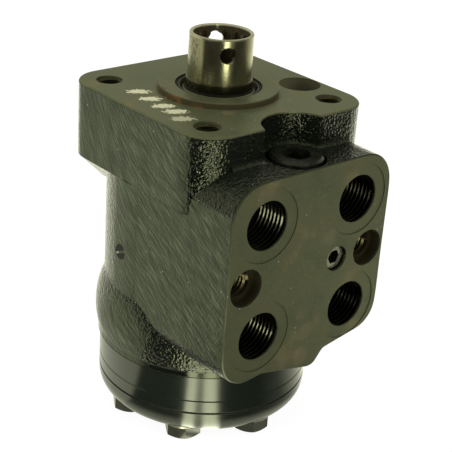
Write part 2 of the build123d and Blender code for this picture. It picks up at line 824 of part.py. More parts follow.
def rotor_point(turn):
    """Point of the rotor outline at a turn in radians about the rotor's own centre."""
    inner = lobe_count * turn
    x = lobe_reach * cos(turn) - eccentricity * cos(inner)
    y = lobe_reach * sin(turn) - eccentricity * sin(inner)
    run_x = -lobe_reach * sin(turn) + lobe_count * eccentricity * sin(inner)
    run_y = lobe_reach * cos(turn) - lobe_count * eccentricity * cos(inner)
    run = hypot(run_x, run_y)
    return (x - flank_shift * run_y / run, y + flank_shift * run_x / run)


outline_count = outline_steps * rotor_lobes
rotor_outline = [rotor_point(2 * pi * k / outline_count) for k in range(outline_count)]
rotor_tip = cardan_root + spline_gap
rotor_root = cardan_foot_diameter / 2 + spline_gap
rotor_plane = Plane(origin=(eccentricity, 0, cover_level + face_gap), z_dir=(0, 0, 1))
with BuildPart() as rotor:
    with BuildSketch(rotor_plane.rotated((0, 0, rotor_phase))):
        with BuildLine():
            Spline(*rotor_outline, periodic=True)
        make_face()
    extrude(amount=gear_width - 2 * face_gap)
    with BuildSketch(rotor_plane):
        Circle(rotor_tip)
        with PolarLocations(0, cardan_teeth):
            Rectangle(rotor_root, cardan_tooth_width + 2 * spline_gap, align=(Align.MIN, Align.CENTER))
    extrude(amount=gear_width, mode=Mode.SUBTRACT)
rotor.part.label = "rotor"
export_step(rotor.part, "parts/rotor.step")

# Rotor spacer: disc in the rotor's bore that holds the cardan shaft up
with BuildPart() as spacer:
    with BuildSketch(rotor_plane):
        Circle(rotor_tip - 2 * running_gap)
    extrude(amount=spacer_thickness)
spacer.part.label = "rotor_spacer"
export_step(spacer.part, "parts/rotor_spacer.step")

# End cover: round cover with a soft lower edge and a seat under each screw
with BuildPart() as cover:
    with BuildSketch(Plane.XY.offset(cover_bottom)):
        Circle(stack_radius)
    extrude(amount=cover_thickness)
    fillet(cover.faces().sort_by(Axis.Z)[0].edges(), radius=cover_rounding)
    chamfer(cover.faces().sort_by(Axis.Z)[-1].edges(), length=stack_edge)
    with BuildSketch(Plane.XY.offset(cover_bottom)):
        with PolarLocations(screw_circle / 2, lobe_count, start_angle=screw_first_angle):
            Circle(screw_seat_diameter / 2)
    extrude(amount=screw_seat_depth, mode=Mode.SUBTRACT)
    with BuildSketch(Plane.XY.offset(cover_bottom)):
        with PolarLocations(screw_circle / 2, lobe_count, start_angle=screw_first_angle):
            Circle(screw_radius + screw_clearance)
    extrude(amount=cover_thickness, mode=Mode.SUBTRACT)
    with BuildSketch(Plane.XY.offset(cover_level)):
        Circle((seal_ring_circle + seal_ring_section) / 2 + seal_ring_play)
        Circle((seal_ring_circle - seal_ring_section) / 2 - seal_ring_play, mode=Mode.SUBTRACT)
    extrude(amount=-seal_ring_section, mode=Mode.SUBTRACT)
cover.part.label = "end_cover"
export_step(cover.part, "parts/end_cover.step")

# Seal rings in the three joints of the stack
for name, level in [
    ("housing_seal_ring", plate_level + seal_ring_section / 2),
    ("plate_seal_ring", gear_level + seal_ring_section / 2),
    ("cover_seal_ring", cover_level - seal_ring_section / 2),
]:
    with BuildPart() as seal_ring:
        with BuildSketch(Plane.XZ):
            with Locations((seal_ring_circle / 2, level)):
                Circle(seal_ring_section / 2)
        revolve(axis=Axis.Z)
    seal_ring.part.label = name
    export_step(seal_ring.part, "parts/" + name + ".step")

# Cover screws: plain hex screws, and one with a pin end under the check valve
head_top = seat_level - washer_thickness
head_bottom = head_top - screw_head_height
screw_top = plate_level + screw_reach
screw_places = [polar(screw_circle / 2, angle) for angle in screw_angles]
with BuildPart() as plain_screw:
    with BuildSketch(Plane.XY.offset(head_bottom)):
        RegularPolygon(screw_head_flats / 2, 6, major_radius=False)
    extrude(amount=screw_head_height)
    with BuildSketch(Plane.XY.offset(head_bottom)):
        Circle(screw_head_flats / 2)
    extrude(amount=screw_head_height, taper=-60, mode=Mode.INTERSECT)
    with BuildSketch(Plane.XY.offset(head_top)):
        Circle(screw_radius)
    extrude(amount=screw_top - head_top)
with BuildPart() as cover_screws:
    for step, place in enumerate(screw_places):
        if step != pin_screw_step:
            with Locations(place):
                add(plain_screw.part)
cover_screws.part.label = "cover_screws"
export_step(cover_screws.part, "parts/cover_screws.step")

pin_end_level = ball_level - check_radius - pin_end_gap
with BuildPart() as pin_screw:
    with Locations(screw_places[pin_screw_step]):
        add(plain_screw.part)
    with BuildSketch(Plane.XY.offset(screw_top)):
        with Locations(screw_places[pin_screw_step]):
            Circle(pin_end_diameter / 2)
    extrude(amount=pin_end_level - screw_top)
pin_screw.part.label = "pin_screw"
export_step(pin_screw.part, "parts/pin_screw.step")

with BuildPart() as washers:
    with BuildSketch(Plane.XY.offset(head_top)):
        with Locations(*screw_places):
            Circle(washer_diameter / 2)
        with Locations(*screw_places):
            Circle(screw_radius + fit_gap, mode=Mode.SUBTRACT)
    extrude(amount=washer_thickness)
washers.part.label = "screw_washers"
export_step(washers.part, "parts/screw_washers.step")

# Check valve: threaded bush and the ball that lifts from it to its seat
with BuildPart() as bush:
    with BuildSketch(Plane.XY.offset(bush_level)):
        with Locations(screw_places[pin_screw_step]):
            Circle(screw_radius)
            Circle(bush_bore / 2, mode=Mode.SUBTRACT)
    extrude(amount=-bush_length)
bush.part.label = "check_valve_bush"
export_step(bush.part, "parts/check_valve_bush.step")

with BuildPart() as check_ball:
    with Locations(polar(screw_circle / 2, pin_screw_angle, ball_level)):
        Sphere(check_radius)
check_ball.part.label = "check_ball"
export_step(check_ball.part, "parts/check_ball.step")

# Relief plug with its sealing washer, in the notch
relief_head_top = relief_head_proud - block_top
relief_head_bottom = relief_head_top - relief_head_height
with BuildPart() as relief_plug:
    with BuildSketch(Plane.XY.offset(relief_head_bottom)):
        with Locations((0, relief_y)):
            Circle(relief_head_diameter / 2)
    extrude(amount=relief_head_height)
    chamfer(relief_plug.edges().filter_by(GeomType.CIRCLE).sort_by(Axis.Z)[-1], length=relief_head_edge)
    with BuildSketch(Plane.XY.offset(relief_head_bottom)):
        with Locations((0, relief_y)):
            Circle(relief_thread / 2)
    extrude(amount=-relief_shank)
    with BuildSketch(Plane.XY.offset(relief_head_top)):
        with Locations((0, relief_y)):
            RegularPolygon(relief_socket / 2, 6, major_radius=False)
    extrude(amount=-relief_socket_depth, mode=Mode.SUBTRACT)
relief_plug.part.label = "relief_plug"
export_step(relief_plug.part, "parts/relief_plug.step")

with BuildPart() as relief_seal:
    with BuildSketch(Plane.XY.offset(-relief_floor)):
        with Locations((0, relief_y)):
            Circle(relief_seal_diameter / 2)
            Circle(relief_thread / 2 + fit_gap, mode=Mode.SUBTRACT)
    extrude(amount=relief_seal_thickness)
relief_seal.part.label = "relief_plug_seal"
export_step(relief_seal.part, "parts/relief_plug_seal.step")

# Relief adjuster: threaded ring screw with a hex socket, it loads the spring
adjuster_top = -relief_step - adjuster_drop
adjuster_bottom = adjuster_top - adjuster_length
with BuildPart() as adjuster:
    with BuildSketch(Plane.XY.offset(adjuster_top)):
        with Locations((0, relief_y)):
            Circle(relief_bore / 2 - fit_gap)
    extrude(amount=-adjuster_length)
    with BuildSketch(Plane.XY.offset(adjuster_top)):
        with Locations((0, relief_y)):
            RegularPolygon(adjuster_socket / 2, 6, major_radius=False)
    extrude(amount=-adjuster_socket_depth, mode=Mode.SUBTRACT)
adjuster.part.label = "relief_adjuster"
export_step(adjuster.part, "parts/relief_adjuster.step")

# Relief seat at the bottom of the bore
seat_top = seat_height - relief_bore_depth
with BuildPart() as relief_seat:
    with BuildSketch(Plane.XY.offset(-relief_bore_depth)):
        with Locations((0, relief_y)):
            Circle(relief_bore / 2 - fit_gap)
            Circle(seat_bore / 2, mode=Mode.SUBTRACT)
    extrude(amount=seat_height)
relief_seat.part.label = "relief_seat"
export_step(relief_seat.part, "parts/relief_seat.step")

# Relief poppet: its cone closes the seat, its stem stands in the spring
cone_top = seat_top + poppet_cone
poppet_shoulder = cone_top + poppet_length
cone_share = (poppet_diameter - seat_bore + 2 * fit_gap) / (poppet_diameter - poppet_tip_diameter)
poppet_tip = cone_top - poppet_cone / cone_share
with BuildPart() as poppet:
    with BuildSketch(Plane.XZ.offset(-relief_y)):
        with BuildLine():
            Polyline(
                (0, poppet_shoulder + poppet_stem_length),
                (poppet_stem_diameter / 2, poppet_shoulder + poppet_stem_length),
                (poppet_stem_diameter / 2, poppet_shoulder),
                (poppet_diameter / 2, poppet_shoulder),
                (poppet_diameter / 2, cone_top),
                (poppet_tip_diameter / 2, poppet_tip),
                (0, poppet_tip),
                close=True,
            )
        make_face()
    revolve(axis=Axis((0, relief_y, 0), (0, 0, 1)))
poppet.part.label = "relief_poppet"
export_step(poppet.part, "parts/relief_poppet.step")

# Relief spring between the adjuster and the poppet
wire_radius = relief_spring_wire / 2
spring_height = adjuster_bottom - poppet_shoulder - relief_spring_wire - 2 * fit_gap
with BuildPart() as relief_spring:
    with BuildLine():
        coil = Helix(
            pitch=spring_height / relief_spring_turns,
            height=spring_height,
            radius=relief_spring_circle / 2,
            center=(0, relief_y, poppet_shoulder + wire_radius + fit_gap),
        )
    with BuildSketch(Plane(origin=coil @ 0, z_dir=coil % 0)):
        Circle(wire_radius)
    sweep()
relief_spring.part.label = "relief_spring"
export_step(relief_spring.part, "parts/relief_spring.step")

# Small threaded plug in the port face
with BuildPart() as face_plug:
    with BuildSketch(face_plane.offset(-face_plug_sink)):
        with Locations((face_plug_x, -face_plug_height)):
            Circle(face_plug_diameter / 2 - fit_gap)
    extrude(amount=-face_plug_length)
    with BuildSketch(face_plane.offset(-face_plug_sink)):
        with Locations((face_plug_x, -face_plug_height)):
            RegularPolygon(face_plug_socket / 2, 6, major_radius=False)
    extrude(amount=-face_plug_socket_depth, mode=Mode.SUBTRACT)
face_plug.part.label = "port_face_plug"
export_step(face_plug.part, "parts/port_face_plug.step")

# Pressed plug with a shallow slot in the left side
with BuildPart() as side_plug:
    with BuildSketch(side_plane.offset(-side_plug_sink)):
        Circle(side_plug_diameter / 2 - fit_gap)
    extrude(amount=-side_plug_length)
    with BuildSketch(side_plane.offset(-side_plug_sink)):
        Rectangle(side_plug_diameter, side_plug_slot, rotation=side_plug_turn)
    extrude(amount=-side_plug_slot_depth, mode=Mode.SUBTRACT)
side_plug.part.label = "side_plug"
export_step(side_plug.part, "parts/side_plug.step")
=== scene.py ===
from math import cos, radians, sin, sqrt

import bpy
from mathutils import Matrix, Vector


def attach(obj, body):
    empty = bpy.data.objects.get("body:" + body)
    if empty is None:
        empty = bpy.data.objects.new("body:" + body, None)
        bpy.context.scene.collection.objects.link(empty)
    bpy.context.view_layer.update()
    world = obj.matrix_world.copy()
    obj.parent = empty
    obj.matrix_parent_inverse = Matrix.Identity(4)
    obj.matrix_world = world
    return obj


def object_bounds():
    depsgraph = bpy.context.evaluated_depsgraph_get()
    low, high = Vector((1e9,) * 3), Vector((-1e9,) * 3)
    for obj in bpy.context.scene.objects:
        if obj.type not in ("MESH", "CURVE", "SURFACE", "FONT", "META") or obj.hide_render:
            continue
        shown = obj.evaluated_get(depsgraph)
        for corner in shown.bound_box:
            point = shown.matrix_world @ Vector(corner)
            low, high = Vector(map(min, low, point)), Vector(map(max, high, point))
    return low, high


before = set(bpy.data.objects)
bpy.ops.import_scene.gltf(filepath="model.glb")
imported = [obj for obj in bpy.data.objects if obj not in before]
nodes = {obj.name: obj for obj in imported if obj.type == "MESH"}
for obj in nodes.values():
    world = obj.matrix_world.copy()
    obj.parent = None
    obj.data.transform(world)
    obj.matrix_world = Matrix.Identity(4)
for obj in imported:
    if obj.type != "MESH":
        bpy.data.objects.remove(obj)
cad_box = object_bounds()
MM = 0.001

# Places on the solids that looks and added pieces follow, in millimetres
PORTS = {
    "upper_left": (-22.04, -29.1),
    "upper_right": (22.04, -29.1),
    "lower_left": (-22.04, -72.6),
    "lower_right": (22.04, -72.6),
}
FACE_HOLES = {"left": (-30, -50.9), "right": (30, -50.9)}
SMALL_PLUG = (14, -51.1)
SIDE_PLUG = (3.2, -58.3)
RELIEF_NOTCH = (31.5, -10.95)
SHAFT_AXIS = (0, 0)
MOUNT_REACH = 82.5 / 2 / sqrt(2)
MOUNTS = {
    "front_left": (-1, -1),
    "front_right": (1, -1),
    "back_left": (-1, 1),
    "back_right": (1, 1),
}
PORT_FACE = -55.9
BODY_WIDTH = 81.5
FACE_WIDTH = 77.2
PLATE_TOP = -100.2
RING_FOOT = -116.35

# Camera: looks down on the corner between the port face and the left side,
# with the long lens of a product photograph.
camera_data = bpy.data.cameras.new("camera")
camera_data.lens = 96.15
camera_data.sensor_width = 36
camera_data.clip_start = 0.02
camera = bpy.data.objects.new("camera", camera_data)
camera.location = (-0.28192, -0.32658, 0.14335)
camera.rotation_euler = (radians(65.138), radians(-3.545), radians(-39.999))
bpy.context.scene.collection.objects.link(camera)
bpy.context.scene.camera = camera
bpy.context.scene.view_settings.view_transform = "Standard"


# Studio: a white surround and a white floor just under the screw heads. Rays that
# look straight at them find them white, the light they send on is dimmer.
def new_material(name):
    """Node material with its tree emptied."""
    material = bpy.data.materials.new(name)
    material.use_nodes = True
    material.node_tree.nodes.clear()
    return material


def add(tree, kind, settings=None, **inputs):
    """Add a node, set its options, and set or link its input sockets by name or i and number."""
    made = tree.nodes.new(kind)
    for key, value in (settings or {}).items():
        setattr(made, key, value)
    for key, value in inputs.items():
        numbered = key[0] == "i" and key[1:].isdigit()
        socket = made.inputs[int(key[1:]) if numbered else key.replace("_", " ")]
        if isinstance(value, bpy.types.NodeSocket):
            tree.links.new(value, socket)
        else:
            socket.default_value = value
    return made


def maths(tree, operation, *values, clamp=False):
    """Math node on one to three values, giving its output socket."""
    inputs = {f"i{k}": value for k, value in enumerate(values)}
    settings = {"operation": operation, "use_clamp": clamp}
    return add(tree, "ShaderNodeMath", settings, **inputs).outputs[0]


def background_ray(tree):
    """1 for the rays that see the backdrop itself: camera, glossy and transmission."""
    path = add(tree, "ShaderNodeLightPath").outputs
    seen = maths(tree, "MAXIMUM", path["Is Camera Ray"], path["Is Glossy Ray"])
    return maths(tree, "MAXIMUM", seen, path["Is Transmission Ray"])


world = bpy.data.worlds.new("studio")
bpy.context.scene.world = world
world.use_nodes = True
tree = world.node_tree
tree.nodes.clear()
strength = maths(tree, "MULTIPLY_ADD", background_ray(tree), 0.5, 0.5)
surround = add(tree, "ShaderNodeBackground", Color=(1, 1, 1, 1), Strength=strength)
add(tree, "ShaderNodeOutputWorld", Surface=surround.outputs[0])

floor_height = cad_box[0][2] - 0.05 * MM
bpy.ops.object.select_all(action="DESELECT")
bpy.ops.mesh.primitive_plane_add(size=8, location=(0, 0, floor_height))
floor = bpy.context.object
floor.name = "floor"
material = new_material("white floor")
tree = material.node_tree
glow = add(tree, "ShaderNodeEmission", Color=(1, 1, 1, 1), Strength=0.92)
shade = add(tree, "ShaderNodeBsdfDiffuse", Color=(0.16, 0.16, 0.16, 1))
bounce = add(tree, "ShaderNodeBsdfDiffuse", Color=(0.8, 0.8, 0.8, 1))
seen = add(tree, "ShaderNodeAddShader", i0=glow.outputs[0], i1=shade.outputs[0])
mixed = add(
    tree, "ShaderNodeMixShader", Fac=background_ray(tree), i1=bounce.outputs[0], i2=seen.outputs[0]
)
add(tree, "ShaderNodeOutputMaterial", Surface=mixed.outputs[0])
floor.data.materials.append(material)


# Reflection cards: a disc on the floor and a tent over it that only glossy rays see.
# Their brightness goes by direction and distance, as lamp strips between black flags.
def product(tree, value, *others):
    """Product of several values or masks."""
    for other in others:
        value = maths(tree, "MULTIPLY", value, other)
    return value


def any_of(tree, *masks):
    """Highest of several values or masks."""
    highest = masks[0]
    for mask in masks[1:]:
        highest = maths(tree, "MAXIMUM", highest, mask)
    return highest


def slope(tree, value, low, high, first, last):
    """Straight change from first at low to last at high, level beyond them."""
    ends = {"From_Min": low, "From_Max": high, "To_Min": first, "To_Max": last}
    return add(tree, "ShaderNodeMapRange", Value=value, **ends).outputs[0]


def blend_value(tree, factor, first, second):
    """Mix two numbers by a mask."""
    settings = {"data_type": "FLOAT"}
    return add(tree, "ShaderNodeMix", settings, i0=factor, i2=first, i3=second).outputs[0]


def ramp(tree, factor, stops):
    """Colour ramp from (place, colour) stops, giving its colour socket."""
    made = add(tree, "ShaderNodeValToRGB", Fac=factor)
    points = made.color_ramp.elements
    while len(points) < len(stops):
        points.new(0.5)
    for point, (place, colour) in zip(points, stops):
        point.position = place
        point.color = (*colour, 1) if isinstance(colour, tuple) else (colour, colour, colour, 1)
    return made.outputs["Color"]


def by_direction(tree, angle, stops):
    """Brightness by direction, from (degrees, value) stops; 0 is in front of the ports."""
    turn = maths(tree, "MULTIPLY_ADD", angle, 1 / radians(360), 0.5)
    return ramp(tree, turn, [((degrees + 180) / 360, value) for degrees, value in stops])


def place_of(tree, coordinates="Object"):
    """Texture coordinates and their x, y and z; object coordinates are in metres."""
    vector = add(tree, "ShaderNodeTexCoord").outputs[coordinates]
    return vector, add(tree, "ShaderNodeSeparateXYZ", Vector=vector).outputs


def length_of(tree, first, second):
    """Length of a flat vector."""
    squares = product(tree, first, first), product(tree, second, second)
    return maths(tree, "SQRT", maths(tree, "ADD", *squares))


def radius_about(tree, first, second, centre):
    """Distance in metres from a line parallel to an axis, its centre in millimetres."""
    off = [maths(tree, "SUBTRACT", a, b * MM) for a, b in zip((first, second), centre)]
    return length_of(tree, *off)


material = new_material("reflection cards")
tree = material.node_tree
axis = place_of(tree)[1]
reach = radius_about(tree, axis[0], axis[1], (0, 0))
around = maths(tree, "ARCTAN2", axis[0], product(tree, axis[1], -1.0))

# Strips on the floor, for the stack and the port face; they drift sideways with distance
drift = slope(tree, reach, 0.13, 0.43, 0.0, radians(26))
strips = by_direction(
    tree,
    maths(tree, "SUBTRACT", around, drift),
    [
        (-180, 0.002),
        (-52, 0.002),
        (-50, 0.7),
        (-45, 0.7),
        (-42, 0.14),
        (-39, 0.14),
        (-36, 0.7),
        (-29, 0.7),
        (-25, 0.002),
        (8, 0.002),
        (28, 0.02),
        (48, 0.1),
        (68, 0.18),
        (100, 0.22),
        (180, 0.14),
    ],
)
near_strips = slope(tree, reach, 0.17, 0.25, 1.0, 0.03)
right_half = maths(tree, "GREATER_THAN", around, 0.0)
floor_tone = product(tree, strips, any_of(tree, near_strips, right_half))

# A dim white sector that the left of the casting mirrors, then the falling off outwards
white_edge = slope(tree, reach, 0.098, 0.45, radians(-94.5), radians(-106))
past_edge = maths(tree, "SUBTRACT", white_edge, around)
white_side = slope(tree, past_edge, radians(-1.5), radians(1.5), 0.0, 0.12)
fade = slope(tree, reach, 0.25, 1.2, 1.0, 0.45)
floor_tone = product(tree, any_of(tree, floor_tone, white_side), fade)

# Light close round the end cover, a strip for the corner and one for the shaft
close = slope(tree, reach, 0.06, 0.048, 0.0, 0.09)
corner_strip = by_direction(tree, around, [(-50, 0.0), (-49, 1.0), (-47, 1.0), (-46, 0.0)])
corner_from = maths(tree, "GREATER_THAN", reach, 0.2)
corner_to = maths(tree, "LESS_THAN", reach, 0.3)
corner_strip = product(tree, corner_strip, corner_from, corner_to, 2.2)
shaft_strip = by_direction(
    tree,
    around,
    [(-27, 0.0), (-25, 1.0), (-21, 1.0), (-19, 0.3), (-17, 1.0), (-13, 1.0), (-11, 0.0)],
)
shaft_strip = product(tree, shaft_strip, maths(tree, "GREATER_THAN", reach, 0.315))
floor_tone = any_of(tree, floor_tone, close, corner_strip, shaft_strip)

# The tent's walls and its faint top
walls = by_direction(
    tree,
    around,
    [
        (-180, 0.07),
        (-122, 0.08),
        (-106, 0.003),
        (-27, 0.003),
        (-24, 0.12),
        (-12, 0.12),
        (-9, 0.01),
        (60, 0.01),
        (80, 0.05),
        (122, 0.06),
        (180, 0.07),
    ],
)
low_part = slope(tree, axis[2], 1.75, 1.85, 1.0, 0.1)
overhead = product(tree, maths(tree, "GREATER_THAN", axis[2], 1.9), 0.05)
tent_tone = any_of(tree, product(tree, walls, low_part), overhead)
on_tent = maths(tree, "GREATER_THAN", axis[2], 0.001)
tone = blend_value(tree, on_tent, floor_tone, tent_tone)
card_glow = add(
    tree, "ShaderNodeEmission", Color=(1.0, 1.0, 0.8, 1), Strength=product(tree, tone, 9.0)
)
add(tree, "ShaderNodeOutputMaterial", Surface=card_glow.outputs[0])

TENT_RADIUS = 2.4
bpy.ops.object.select_all(action="DESELECT")
bpy.ops.mesh.primitive_circle_add(
    vertices=96,
    radius=TENT_RADIUS,
    fill_type="NGON",
    location=(0, 0, floor_height + 0.02 * MM),
)
bpy.context.object.name = "reflection_cards"
bpy.ops.object.select_all(action="DESELECT")
bpy.ops.mesh.primitive_uv_sphere_add(
    segments=64, ring_count=32, radius=TENT_RADIUS, location=(0, 0, floor_height)
)
bpy.context.object.name = "reflection_tent"
bpy.ops.object.mode_set(mode="EDIT")
bpy.ops.mesh.bisect(plane_co=(0, 0, floor_height), plane_no=(0, 0, 1), clear_inner=True)
bpy.ops.object.mode_set(mode="OBJECT")
for name in ("reflection_cards", "reflection_tent"):
    card = bpy.data.objects[name]
    card.data.materials.append(material)
    card.visible_camera = False
    card.visible_diffuse = False
    card.visible_transmission = False
    card.visible_shadow = False


# Lamps: three soft ones from the left, the right and above that gloss does not see,
# and a small far one that puts the sparkles on the cast skin.
def lamp(name, place, size, power, in_gloss=False):
    """Square lamp that looks at the object's middle; place and size in metres."""
    data = bpy.data.lights.new(name, "AREA")
    data.shape = "SQUARE"
    data.size = size
    data.energy = power
    made = bpy.data.objects.new(name, data)
    bpy.context.scene.collection.objects.link(made)
    made.location = place
    away = made.location - Vector((0, 0, -0.05))
    made.rotation_euler = away.to_track_quat("Z", "Y").to_euler()
    made.visible_glossy = in_gloss


lamp("left lamp", (-1.3, 0.2, 0.7), 0.9, 9)
lamp("right lamp", (0.6, -1.3, 0.8), 0.9, 9)
lamp("top lamp", (0.1, 0.1, 1.5), 0.8, 3.5)
lamp("sparkle lamp", (-1.43, -0.38, 0.25), 0.08, 0.8, in_gloss=True)


# Valve housing: one iron casting under black paint, with its flange, port face, collar
# and holes machined bare after painting, its left side fettled and lit by painted light,
# and rust where water stood.
def group(name, inputs, outputs):
    """Empty shader node group with (kind, name, value) inputs and (kind, name) outputs."""
    made = bpy.data.node_groups.new(name, "ShaderNodeTree")
    for kind, socket, value in inputs:
        item = made.interface.new_socket(socket, in_out="INPUT", socket_type=kind)
        if value is not None:
            item.default_value = value
    for kind, socket in outputs:
        made.interface.new_socket(socket, in_out="OUTPUT", socket_type=kind)
    source = made.nodes.new("NodeGroupInput").outputs
    result = made.nodes.new("NodeGroupOutput").inputs
    return made, source, result


def use(tree, shared, **inputs):
    """Place a shared group in a material, giving its outputs."""
    return add(tree, "ShaderNodeGroup", {"node_tree": shared}, **inputs).outputs


def noise(tree, vector, scale, detail=2.0, roughness=0.5, distortion=0.0):
    """Noise value from 0 to 1 on a vector."""
    shape = {"Detail": detail, "Roughness": roughness, "Distortion": distortion}
    return add(tree, "ShaderNodeTexNoise", Vector=vector, Scale=scale, **shape).outputs["Fac"]


def step(tree, value, low, high, unit=1.0):
    """0 before low, 1 past high, smooth between; unit is MM for places in millimetres."""
    ends = {"From_Min": low * unit, "From_Max": high * unit}
    settings = {"interpolation_type": "SMOOTHSTEP"}
    return add(tree, "ShaderNodeMapRange", settings, Value=value, **ends).outputs[0]


def line_at(tree, value, level, outer, inner):
    """1 within inner of a level, 0 past outer, all in millimetres."""
    off = maths(tree, "ABSOLUTE", maths(tree, "SUBTRACT", value, level * MM))
    return step(tree, off, outer, inner, MM)


def within(tree, first, second, centre, radius):
    """1 inside a cylinder parallel to an axis, 0 outside, in millimetres."""
    return maths(tree, "LESS_THAN", radius_about(tree, first, second, centre), radius * MM)


def weighed(tree, first, share, second, other_share):
    """Sum of two values, each multiplied by its share."""
    return maths(tree, "ADD", product(tree, first, share), product(tree, second, other_share))


def blend(tree, factor, first, second):
    """Mix two colours by a mask."""
    colours = [(*value, 1) if isinstance(value, tuple) else value for value in (first, second)]
    settings = {"data_type": "RGBA"}
    made = add(tree, "ShaderNodeMix", settings, i0=factor, i6=colours[0], i7=colours[1])
    return made.outputs[2]


def bump_of(tree, height, strength, depth):
    """Bump normal from a height, its depth in millimetres."""
    sizes = {"Strength": strength, "Distance": depth * MM}
    return add(tree, "ShaderNodeBump", Height=height, **sizes).outputs[0]


def surface(tree, color, metallic, roughness, normal=None, ior=1.5, tint=(1, 1, 1)):
    """Principled shader, linked to the material's output."""
    if isinstance(color, tuple):
        color = (*color, 1)
    shader = add(tree, "ShaderNodeBsdfPrincipled", Base_Color=color, Metallic=metallic)
    add(tree, "ShaderNodeOutputMaterial", Surface=shader.outputs[0])
    values = {"Roughness": roughness, "Normal": normal, "IOR": ior, "Specular Tint": (*tint, 1)}
    for name, value in values.items():
        if isinstance(value, bpy.types.NodeSocket):
            tree.links.new(value, shader.inputs[name])
        elif value is not None:
            shader.inputs[name].default_value = value


dressed = set()


def dress(material, *node_names):
    """Give CAD nodes a material in place of their own."""
    for node_name in node_names:
        piece = nodes[node_name]
        piece.data.materials.clear()
        piece.data.materials.append(material)
        dressed.add(node_name)


cast_skin, source, result = group(
    "cast skin",
    [("NodeSocketVector", "Place", None), ("NodeSocketFloat", "Grain", 1.2)],
    [("NodeSocketFloat", "Height"), ("NodeSocketFloat", "Tone")],
)
grain_scale = maths(cast_skin, "DIVIDE", 1000.0, source["Grain"])
lumps = noise(cast_skin, source["Place"], grain_scale, 1.5)
coarse = noise(cast_skin, source["Place"], product(cast_skin, grain_scale, 0.3))
height = maths(cast_skin, "MULTIPLY_ADD", coarse, 0.6, lumps)
cast_skin.links.new(height, result["Height"])
cast_skin.links.new(noise(cast_skin, source["Place"], 45.0, 3.0), result["Tone"])

bare_iron, source, result = group(
    "bare iron",
    [("NodeSocketVector", "Place", None)],
    [
        ("NodeSocketColor", "Color"),
        ("NodeSocketFloat", "Height"),
        ("NodeSocketFloat", "Roughness"),
    ],
)
patches = noise(bare_iron, source["Place"], 60.0, 4.0, 0.6)
specks = noise(bare_iron, source["Place"], 900.0, 3.0, 0.6)
tones = ramp(
    bare_iron,
    patches,
    [
        (0.3, (0.066, 0.074, 0.034)),
        (0.48, (0.09, 0.096, 0.046)),
        (0.6, (0.1, 0.098, 0.046)),
        (0.7, (0.14, 0.125, 0.06)),
    ],
)
speck_share = product(bare_iron, step(bare_iron, specks, 0.5, 0.75), 0.35)
tones = blend(bare_iron, speck_share, tones, (0.16, 0.16, 0.1))
bare_iron.links.new(tones, result["Color"])
bare_iron.links.new(specks, result["Height"])
bare_iron.links.new(maths(bare_iron, "MULTIPLY_ADD", patches, 0.2, 0.32), result["Roughness"])

rust_patch, source, result = group(
    "rust patch",
    [
        ("NodeSocketVector", "Place", None),
        ("NodeSocketVector", "Centre", (0, 0, 0)),
        ("NodeSocketFloat", "Reach", 5.0),
        ("NodeSocketFloat", "Amount", 1.0),
    ],
    [("NodeSocketFloat", "Mask")],
)
away = add(
    rust_patch,
    "ShaderNodeVectorMath",
    {"operation": "DISTANCE"},
    i0=source["Place"],
    i1=source["Centre"],
).outputs["Value"]
share = maths(rust_patch, "DIVIDE", away, product(rust_patch, source["Reach"], MM))
near = maths(rust_patch, "SUBTRACT", 1.0, share, clamp=True)
broken = product(rust_patch, noise(rust_patch, source["Place"], 420.0, 4.0, 0.65), 0.9)
mask = step(rust_patch, maths(rust_patch, "ADD", near, broken), 0.62, 1.15)
mask = product(rust_patch, mask, step(rust_patch, share, 1.0, 0.7), source["Amount"])
rust_patch.links.new(mask, result["Mask"])

housing_paint = new_material("painted casting")
tree = housing_paint.node_tree
place, axis = place_of(tree)
facing = place_of(tree, "Normal")[1]
skin = use(tree, cast_skin, Place=place, Grain=1.1)
iron = use(tree, bare_iron, Place=place)
from_shaft = radius_about(tree, axis[0], axis[1], SHAFT_AXIS)

# The machined places: mounting face, port face, foot band and every bore
wavy = maths(tree, "MULTIPLY_ADD", noise(tree, place, 500.0), 0.3 * MM, -0.15 * MM)
top_face = step(tree, maths(tree, "ADD", axis[2], wavy), -0.7, -0.45, MM)
front_face = step(
    tree, maths(tree, "ADD", axis[1], wavy), PORT_FACE + 0.6, PORT_FACE + 0.4, MM
)
foot_band = step(tree, axis[2], PLATE_TOP + 2.6, PLATE_TOP + 2.3, MM)
small_holes = [*FACE_HOLES.values(), SMALL_PLUG]
bores = [within(tree, axis[0], axis[2], hole, 10.6) for hole in PORTS.values()]
bores += [within(tree, axis[0], axis[2], hole, 7.3) for hole in small_holes]
in_front = maths(tree, "LESS_THAN", axis[1], -25 * MM)
front_bores = product(tree, any_of(tree, *bores), in_front)
wells = [
    within(tree, axis[0], axis[1], (x * MOUNT_REACH, y * MOUNT_REACH), 6.1)
    for x, y in MOUNTS.values()
]
notch = within(tree, axis[0], axis[1], RELIEF_NOTCH, 8.2)
wells += [notch, within(tree, axis[0], axis[1], SHAFT_AXIS, 23.0)]
top_bores = product(tree, any_of(tree, *wells), maths(tree, "GREATER_THAN", axis[2], -22 * MM))
machined = any_of(tree, top_face, front_face, front_bores, top_bores)

